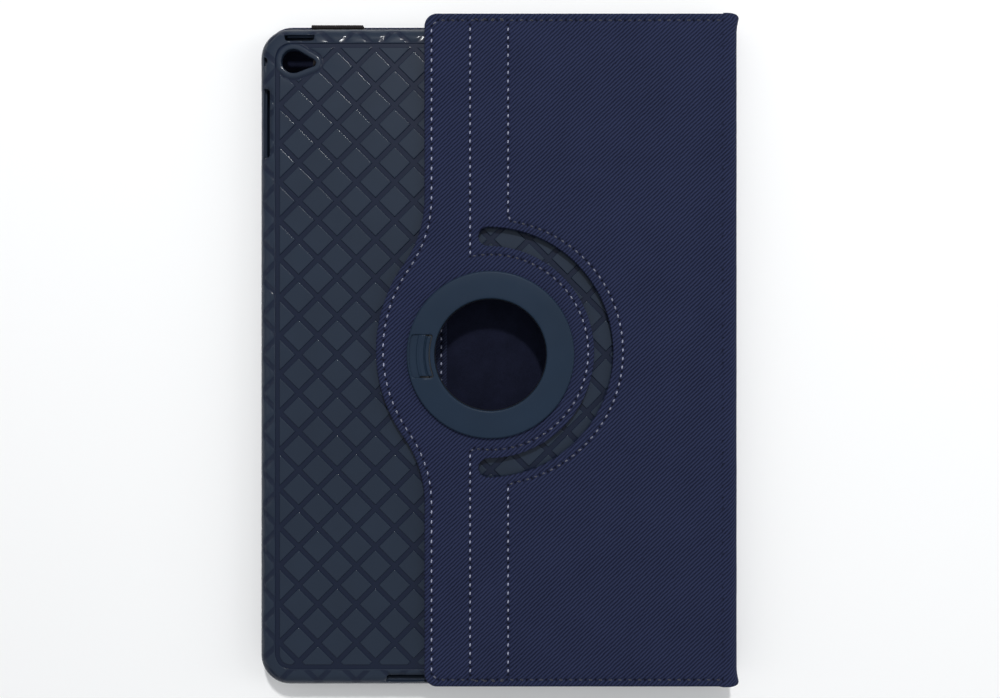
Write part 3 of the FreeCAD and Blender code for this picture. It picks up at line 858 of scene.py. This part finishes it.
def spine_pieces(name, outside, inside_inset, node, finish, flare, crease):
    """Two halves of a bent sheet, parted half-way down the spine."""
    outer, inner = spine_section(outside), spine_section(inside_inset)
    round_spine = SPINE_X + travel(spine_section(0))
    middle = len(outer) // 2
    ends = HALF - np.array((0, 0.12, 0.4, 0.9, 1.6, 2.6, 4.0, 6.0, 8.5))
    rows = np.sort(join(-ends, ends, np.linspace(-118, 118, 80)))

    def section_row(y, section, outward):
        """One row of points round the spine at y, with round, slightly flared ends."""
        gap = HALF - abs(y)
        spread = flare * (1 if outward else 0.7) * math.exp(-(gap / SPINE_FLARE) ** 2)
        pinch = crease * fall(gap / SPINE_PINCH, 1) * (1 if outward else -0.3)
        row = []
        for number, (x, z) in enumerate(section):
            weight = math.sin(math.pi * number / (len(section) - 1)) ** 0.7
            ripple = 0.05 * noise.noise(Vector((x / 9, y / 16, z / 9)))
            row.append((x + (spread - pinch + ripple) * weight, y, z))
        return row

    for half, (first, last) in enumerate(((0, middle), (middle, len(outer) - 1))):
        shell = Shell()
        shell.sheet([section_row(y, outer, True)[first:last + 1] for y in rows],
                    [section_row(y, inner, False)[first:last + 1] for y in rows])

        def uv(points, first=first, last=last):
            gap = ((points[:, None, (0, 2)] - outer[None, first:last + 1]) ** 2).sum(2).argmin(1)
            return np.stack([round_spine[first + gap], points[:, 1]], 1)

        made = shell.build(f"{name}_{('upper', 'lower')[half]}", finish, uv, 60)
        if half == 0:
            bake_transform(made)
        else:
            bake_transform(made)
        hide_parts(node)


def make_spine():
    spine_pieces("spine_twill", 0.0, 1.1, "spine_skin", "twill", 1.0, 1.1)
    spine_pieces("spine_felt", 1.12, 1.7, "spine_lining", "lining", 0.7, 0.0)


# ---- elastic loop

def make_pen_loop():
    """A folded strap of ribbed elastic, flat under the tray and standing at its end."""
    (x_low, y0, z0), (x_high, y1, z1) = LOOP_LOW, LOOP_HIGH
    gauge = 0.8
    base = z0 + gauge / 2
    back, front = y1 - 1.33, y1 - gauge / 2 - 0.05
    turn = (front - back) / 2
    crown = z1 - gauge / 2 - turn
    path = join(
        run((y0, base), (back - 1.0, base), 14),
        arc((back - 1.0, base + 1.0), 1.0, -90, 0, 5)[:-1],
        run((back, base + 1.0), (back, crown), 4),
        arc(((back + front) / 2, crown), turn, 180, 0, 8)[:-1],
        run((front, crown), (front, base + 0.5), 5),
        arc((front - 0.5, base + 0.5), 0.5, 0, -90, 3)[:-1],
        run((front - 0.5, base), (front - 0.6, base), 1, last=True),
    )
    cords, per_cord = 24, 6
    columns = np.linspace(x_low, x_high, cords * per_cord + 1)
    outer, inner = [], []
    for x in columns:
        phase = (x - x_low) / (x_high - x_low) * cords
        rib = 0.09 * abs(math.sin(math.pi * phase))
        rim = min(x - x_low, x_high - x)
        thin = gauge / 2 * (1 - 0.45 * max(0.0, 1 - rim / 0.35) ** 2) - 0.09
        outer.append([(x, *(p + n * (thin + rib))) for p, n in zip(path, left(path))])
        inner.append([(x, *(p - n * (thin + rib))) for p, n in zip(path, left(path))])
    shell = Shell()
    shell.sheet(outer, inner)
    made = shell.build("elastic_loop", "elastic", sharp=70)
    attach(made, "front_cover", "pen_loop")


# ---- tray

TRAY_CORNER = 11.5
TRAY_ROUND = 5.5
TRAY_BASE, TRAY_TOP = TRAY_LOW[2], TRAY_HIGH[2]
FLOOR_LEVEL = corners("hub_insert")[0][2]
FLOOR_INSET = 5.2
CAVITY_BASE = TRAY_BASE + 1.3
LATTICE = 14.83
GROOVE_HALF = 0.85
GROOVE_DEPTH = 0.4
PAD_EDGE = 0.28
FRAME_INNER, FRAME_OUTER = 7.15, 5.65
RIM_START, RIM_GROOVE, RIM_SHADE = 1.0, 0.3, 0.8
PLATE_RADIUS, PLATE_GROOVE = 36.5, 1.4
HUB_HOLE, INSERT_SEAT, INSERT_DEPTH = 24.6, 35.0, 0.8
WINDOW_LOW, WINDOW_HIGH = 7.5, 12.4
CAMERA = HUB + (-76.2, 113.4)
CAMERA_RADIUS = 4.6
CAMERA_TAIL = HUB + (-68.96, 112.8)
CAMERA_TAIL_RADIUS = 1.5
BEZEL = 2.5


class Box:
    """A rectangle with the tray's round corners."""

    def __init__(self, centre, half):
        self.centre, self.half = centre, half

    def loop(self, e):
        """Its outline, moved in by e."""
        return rounded_box(self.centre, self.half - e, max(TRAY_CORNER - e, 0.6), 12, (44, 64))

    def inset(self, points):
        """How far each point is inside it."""
        q = np.abs(points - self.centre) - (self.half - TRAY_CORNER)
        outside = np.sqrt((np.maximum(q, 0) ** 2).sum(1))
        return TRAY_CORNER - outside - np.minimum(q.max(1), 0)


OUTSIDE = Box((TRAY_LOW[:2] + TRAY_HIGH[:2]) / 2, (TRAY_HIGH[:2] - TRAY_LOW[:2]) / 2)
FRAME = Box(HUB - (0, 0.6), np.array((88.75, 126.4)))


def camera_loop(d):
    """Two circles joined by straight sides, moved out by d."""
    between = CAMERA_TAIL - CAMERA
    reach = np.linalg.norm(between)
    heading = math.degrees(math.atan2(between[1], between[0]))
    lean = math.degrees(math.acos((CAMERA_RADIUS - CAMERA_TAIL_RADIUS) / reach))
    return join(
        arc(CAMERA, CAMERA_RADIUS + d, heading + lean, heading + 360 - lean, 40),
        arc(CAMERA_TAIL, CAMERA_TAIL_RADIUS + d, heading - lean, heading + lean, 14),
    )


def lattice_gap(points):
    """Distance outside the nearest groove of the two diagonal families."""
    x, y = (points - HUB).T
    gaps = []
    for value in (x + y, x - y):
        off = np.abs((value + LATTICE / 2) % LATTICE - LATTICE / 2) / math.sqrt(2)
        gaps.append(off - GROOVE_HALF)
    return np.minimum(*gaps)


def pad_profile(t):
    """How far below the top of a pad a point is, t inside the pad's foot: 1 in the groove."""
    t = np.clip(t / PAD_EDGE, 0, 1)
    return 1 - (0.62 * t + 0.38 * np.sqrt(1 - (1 - t) ** 2))


def tray_height(points):
    """The height of the tray's back, and the painted shade in its grooves."""
    e = OUTSIDE.inset(points)
    z = TRAY_TOP - fall(e, TRAY_ROUND)
    r = np.linalg.norm(points - HUB, axis=1)
    gap = lattice_gap(points)
    hole = distance(points, camera_loop(0))
    f = FRAME.inset(points)
    pads = np.minimum.reduce([gap, f - FRAME_INNER, r - PLATE_RADIUS - PLATE_GROOVE,
                              hole - BEZEL - 0.3])
    sunk = pad_profile(np.where(r < PLATE_RADIUS, PLATE_RADIUS - r, pads))
    # on the rim the grooves are shallower, but painted with shade nearly as dark as between the
    # pads
    on_rim = f < (FRAME_INNER + FRAME_OUTER) / 2
    frame_side = pad_profile(FRAME_OUTER - f)
    rim = pad_profile(gap) * smooth((e - 1.3) / 0.5)
    lip = smooth((BEZEL + 0.1 - hole) / 1.1)

    def grooves(share):
        return np.where(on_rim, np.maximum(share * rim, frame_side), sunk) * (1 - lip)

    z = z - GROOVE_DEPTH * grooves(RIM_GROOVE) + 0.12 * lip - 0.5 * fall(hole / 0.6, 1)
    return z, 0.9 * grooves(RIM_SHADE)


def clip_convex(polygon, clipper):
    """A convex polygon cut by another, both anticlockwise."""
    for (ax, ay), (bx, by) in zip(clipper, np.roll(clipper, -1, 0)):
        sides = [(bx - ax) * (y - ay) - (by - ay) * (x - ax) for x, y in polygon]
        kept = []
        for p, q, s, t in zip(polygon, polygon[1:] + polygon[:1], sides, sides[1:] + sides[:1]):
            if s >= 0:
                kept.append(p)
            if s * t < 0:
                kept.append(p + (q - p) * (s / (s - t)))
        polygon = kept
    return polygon


def with_tight_corners(polygon):
    """A polygon with two more points on each side, so that its sides shade evenly."""
    along = np.roll(polygon, -1, 0) - polygon
    return np.stack([polygon + along * t for t in (0.0, 0.1, 0.9)], 1).reshape(-1, 2)


def pad_lines():
    """Loops round the pads at several depths of their sides, and tracks for the rim's grooves."""
    loops, tracks = [], []
    levels = (-0.25, 0.0, 0.1, PAD_EDGE, PAD_EDGE + 0.2)
    half_pad = (LATTICE / math.sqrt(2) / 2 - GROOVE_HALF) * math.sqrt(2)
    span = OUTSIDE.half.sum()
    reach = int(span / LATTICE) + 1
    frames = {t: FRAME.loop(FRAME_INNER + t) for t in levels}
    for i in range(-reach, reach):
        for j in range(-reach, reach):
            a, b = (i + 0.5) * LATTICE, (j + 0.5) * LATTICE
            centre = HUB + ((a + b) / 2, (a - b) / 2)
            if FRAME.inset(centre[None])[0] < FRAME_INNER - 8:
                continue
            if np.linalg.norm(centre - HUB) < PLATE_RADIUS - 4:
                continue
            for t in levels:
                size = half_pad - t * math.sqrt(2)
                diamond = [centre + (size, 0), centre + (0, size), centre - (size, 0),
                           centre - (0, size)]
                clipped = clip_convex(diamond, frames[t])
                if len(clipped) > 2:
                    loops.append(with_tight_corners(np.array(clipped)))
    for t in levels:
        loops += [FRAME.loop(FRAME_INNER + t), FRAME.loop(FRAME_OUTER - t),
                  circle(HUB, PLATE_RADIUS - t), circle(HUB, PLATE_RADIUS + PLATE_GROOVE + t)]
    loops += [camera_loop(d) for d in (0.12, 0.3, 0.6, 1.0, 1.4, 1.9, 2.3, 2.6, 3.0, 3.4)]
    loops += [OUTSIDE.loop(e) for e in (1.3, 1.6, 2.0, 2.5, 3.1, 3.7, 4.4)]

    x = np.linspace(-span, span, 1601)
    groove_edges = (-GROOVE_HALF - PAD_EDGE, -GROOVE_HALF, GROOVE_HALF, GROOVE_HALF + PAD_EDGE)
    for sign in (1, -1):
        for number in range(-reach, reach + 1):
            for off in groove_edges:
                value = number * LATTICE + off * math.sqrt(2)
                track = np.stack([HUB[0] + x, HUB[1] + sign * (value - x)], 1)
                on_rim = ((OUTSIDE.inset(track) > 1.32)
                          & (FRAME.inset(track) < FRAME_OUTER - PAD_EDGE - 0.25))
                starts = np.where(on_rim & ~np.roll(on_rim, 1))[0]
                stops = np.where(on_rim & ~np.roll(on_rim, -1))[0]
                tracks += [track[[a, b]] for a, b in zip(starts, stops) if b > a]
    return loops, tracks


def edge_cutters(name, middle, turn, length, outer, inner):
    """Cutters for a slot beside an edge of the tray, and for a window in the wall below it.

    The middle lies on the edge. The slot's sides are at outer and at inner in from the edge.
    """
    end = length / 2
    half = [(end - 1.2, -inner), (end - 0.4, 0.5 - inner), (end, -0.3 - outer),
            (end - 0.3, -outer)]
    slot = half + [(-x, y) for x, y in half[::-1]]
    wall = [(end, -2.9), (end, 1.5), (-end, 1.5), (-end, -2.9)]
    a = math.radians(turn)
    turned = np.array(((math.cos(a), math.sin(a)), (-math.sin(a), math.cos(a))))
    cutters = [prism("cut_" + name, [(slot @ turned + middle, z) for z in (12.6, 17.0)], "tray")]
    if name != "mic":
        cutters.append(prism("window_" + name, [(wall @ turned + middle, z)
                                                for z in (WINDOW_LOW, WINDOW_HIGH)], "tray"))
    return cutters


def make_tray():
    shell = Shell()
    hub_hole, seat = circle(HUB, HUB_HOLE), circle(HUB, INSERT_SEAT)
    lens = camera_loop(0)
    back = OUTSIDE.loop(RIM_START)
    shell.patch(back, [hub_hole, lens], tray_height, *pad_lines())

    rows = [at_height(back, tray_height)]
    for e in (0.75, 0.5, 0.28, 0.1, 0.0):
        rows.append(with_z(OUTSIDE.loop(e), TRAY_TOP - fall(e, TRAY_ROUND)))
    # down the wall, round the lip, and up the inside to the floor that the tablet lies on
    for e, z in ((0.0, 8.0), (0.0, 5.5), (0.1, 5.15), (0.3, 4.95), (0.6, TRAY_BASE),
                 (3.3, TRAY_BASE), (3.6, 5.0), (3.85, 5.3), (3.85, 5.8), (3.7, 6.1),
                 (3.4, CAVITY_BASE), (2.35, CAVITY_BASE), (2.1, CAVITY_BASE + 0.2),
                 (2.05, CAVITY_BASE + 0.5), (2.05, 10.4), (2.15, 11.3), (2.5, 12.3),
                 (3.1, 13.1), (4.0, 13.6), (FLOOR_INSET, FLOOR_LEVEL)):
        rows.append(with_z(OUTSIDE.loop(e), z))
    shell.rows(rows)
    shell.patch(OUTSIDE.loop(FLOOR_INSET), [seat, lens], flat_at(FLOOR_LEVEL))
    shell.strip(at_height(lens, tray_height), with_z(lens, FLOOR_LEVEL))
    shell.rows([with_z(seat, FLOOR_LEVEL), with_z(seat, FLOOR_LEVEL + INSERT_DEPTH),
                with_z(hub_hole, FLOOR_LEVEL + INSERT_DEPTH), at_height(hub_hole, tray_height)])
    tray = shell.build("tray_lattice", "tray", sharp=55)

    side, head, foot = TRAY_LOW[0], TRAY_HIGH[1], TRAY_LOW[1]
    boolean_cut(tray, [
        *edge_cutters("volume", (side, HUB[1] + 89.4), 90, 27.2, 1.9, 4.4),
        *edge_cutters("mic", (side, HUB[1] + 113.4), 90, 3.6, 1.9, 3.4),
        *edge_cutters("power", (HUB[0] - 73.9, head), 0, 12.0, 3.3, 5.8),
        *edge_cutters("audio", (HUB[0] + 74.0, head), 0, 9.0, 3.3, 5.8),
        *edge_cutters("port", (HUB[0], foot), 180, 81.0, 1.7, 4.9),
    ])
    attach(tray, "tray", "tray_shell")


# ---- swivel

RING_INNER, RING_OUTER = 21.4, 32.0
DISC_THICKNESS = 0.85
TONGUE_RADIUS = 27.1
TONGUE_HALF = 8.25
TONGUE_Y = -0.55
RECESS_START = 28.3
BROAD_RIDGE, NARROW_RIDGE, RIDGE_GROOVE = 27.0, 24.5, 25.35
TOOTH_INNER, TOOTH_OUTER, TOOTH_HALF = 28.4, 29.75, 1.5


def round_spot(r, y, z):
    """A place on the free side of the swivel, from its radius and its y about the hub."""
    return HUB[0] - math.sqrt(r * r - y * y), HUB[1] + y, z


def make_ring():
    """The swivel's cover ring, turned from one section, with a window for the tongue."""
    inner, outer = RING_INNER, RING_OUTER
    low, disc, top = RING_LOW[2], RING_HIGH[2] - DISC_THICKNESS, RING_HIGH[2]
    section = join(
        [(outer - 1.3, disc), (outer - 1.3, low), (outer - 0.15, low), (outer, low + 0.15)],
        arc((outer - 0.75, top - 0.75), 0.75, 0, 90, 7),
        [(28.0, top), (25.0, top), (22.9, top)],
        arc((inner + 0.6, top - 0.6), 0.6, 90, 180, 6),
        [(inner, disc + 0.1), (inner + 0.1, disc)],
    )
    count = 192
    columns = []
    for number in range(count):
        a = 2 * math.pi * number / count
        c, s = math.cos(a), math.sin(a)
        columns.append([(HUB[0] + r * c, HUB[1] + r * s, z) for r, z in section])
    shell = Shell()
    shell.rows(columns + columns[:1])
    ring = shell.build("cover_ring", "swivel_plastic", sharp=35)

    def window(grow):
        loop = rounded_box((TONGUE_RADIUS, TONGUE_Y), (4.0 + grow, TONGUE_HALF + grow),
                           1.1 + grow, 8, (4, 14))
        return np.array([round_spot(r, y, 0)[:2] for r, y in loop])

    boolean_cut(ring, [prism("cut_window", [(window(0), disc - 0.5), (window(0), top - 0.2),
                                            (window(0.25), top + 0.1)], "swivel_plastic")])
    attach(ring, "tray", "swivel_ring")


def make_tongue():
    """The sprung tongue: a thumb recess, two ridges with a groove between, and a tooth below."""
    low, high = corners("detent_tongue")
    inner, outer = TONGUE_RADIUS - 3.5, TONGUE_RADIUS + 3.98
    base, top = low[2] + 0.7, high[2] + 0.12
    radii = np.linspace(inner, outer, 61)

    def step(value, at, width):
        return float(smooth(np.array((value - at) / width + 0.5)))

    def bell(value, at, width):
        return math.exp(-((value - at) / width) ** 2)

    def level(r, t):
        recess = step(r, RECESS_START, 0.5)
        relief = (0.2 * bell(r, BROAD_RIDGE, 0.5) + 0.12 * bell(r, NARROW_RIDGE, 0.4)
                  - 0.6 * bell(r, RIDGE_GROOVE, 0.33))
        edge = min(r - inner, (1 - abs(t)) * TONGUE_HALF)
        rounded = 0.2 * (1 - step(edge, 0.18, 0.36)) * (1 - recess)
        return max(top - 0.42 * recess + relief - rounded, base + 0.08)

    def spot(r, t, z):
        # the ridges stop short of the ends of the window, and the recess reaches them
        short = 0.62 * (1 - step(r, 25.7 if t > 0 else 28.2, 0.3))
        return round_spot(r, TONGUE_Y + t * (TONGUE_HALF - 0.03 - short), z)

    shell = Shell()
    along = np.linspace(-1, 1, 56)
    shell.sheet([[spot(r, t, level(r, t)) for r in radii] for t in along],
                [[spot(r, t, base) for r in radii] for t in along])
    tongue = shell.build("thumb_tongue", "swivel_plastic", sharp=45)

    shell = Shell()
    rows = []
    for z, shrink in ((base + 0.1, 0.0), (low[2] + 0.25, 0.0), (low[2], 0.25)):
        reach = TOOTH_HALF - shrink
        sides = (TOOTH_INNER + shrink, reach), (TOOTH_OUTER - shrink, -reach)
        rows.append([round_spot(r, y, z) for r, end in sides for y in np.linspace(end, -end, 7)])
    shell.solid(rows)
    tooth = shell.build("tongue_tooth", "swivel_plastic")
    for piece in (tongue, tooth):
        attach(piece, "tray", "detent_tongue")


# ---- stage

def make_stage():
    reach, level = 6.0, -0.0003
    signs = ((-1, -1), (1, -1), (1, 1), (-1, 1))
    mesh = bpy.data.meshes.new("floor")
    mesh.from_pydata([(x * reach, y * reach, level) for x, y in signs], [], [(0, 1, 2, 3)])
    mesh.materials.append(floor_finish())
    add_object("floor", mesh)

    world = bpy.data.worlds.new("studio")
    bpy.context.scene.world = world
    world.use_nodes = True
    nodes, links = world.node_tree.nodes, world.node_tree.links
    background = nodes["Background"]
    background.inputs[0].default_value = (0.96, 0.98, 1.0, 1.0)
    # the sky is dim near the horizon and brighter overhead
    split = nodes.new("ShaderNodeSeparateXYZ")
    links.new(nodes.new("ShaderNodeTexCoord").outputs["Generated"], split.inputs[0])
    ramp = nodes.new("ShaderNodeMapRange")
    ramp.interpolation_type = "SMOOTHSTEP"
    for number, value in enumerate((0.3, 0.8, 0.4, 0.6), start=1):
        ramp.inputs[number].default_value = value
    links.new(split.outputs[2], ramp.inputs[0])
    links.new(ramp.outputs[0], background.inputs[1])

    def lamp(name, power, size, place):
        """A soft rectangular lamp that points at the middle of the case."""
        data = bpy.data.lights.new(name, "AREA")
        data.energy, data.shape, data.size, data.size_y = power, "RECTANGLE", *size
        light = add_object(name, data)
        light.location = place
        light.rotation_euler = (-Vector(place)).to_track_quat("-Z", "Y").to_euler()

    lamp("key", 11.5, (0.09, 0.09), (0.07, 0.80, 1.22))
    lamp("left", 0.8, (0.4, 1.0), (-1.3, 0.0, 0.9))
    lamp("right", 3.5, (0.4, 1.0), (1.3, 0.1, 0.9))

    camera_data = bpy.data.cameras.new("camera")
    camera_data.lens, camera_data.sensor_width = 34.9, 36.0
    camera_data.clip_start, camera_data.clip_end = 0.01, 20.0
    camera = add_object("camera", camera_data)
    # nearly over the middle of the case, looking straight down
    camera.location = (0.00112, 0.0004, 0.39)
    bpy.context.scene.camera = camera
    bpy.context.scene.view_settings.view_transform = "Standard"


def finish_cad_nodes():
    """Gives the CAD nodes that stay in view their own finishes."""
    for finish, nodes in (
            ("board", ("front_board", "leg_board", "wing_board")), ("felt", ("fold_strips",)),
            ("magnet", ("wake_magnets",)), ("insert_plastic", ("hub_bushing", "hub_insert")),
            ("screw", ("hub_screws",)), ("washer", ("lower_washer", "upper_washer"))):
        for node in nodes:
            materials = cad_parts[node].data.materials
            for number in range(len(materials)):
                materials[number] = FINISHES[finish]
            if not materials:
                materials.append(FINISHES[finish])


make_stage()
finish_cad_nodes()
make_back_panel()
make_front_cover()
make_spine()
make_pen_loop()
make_tray()
make_ring()
make_tongue()
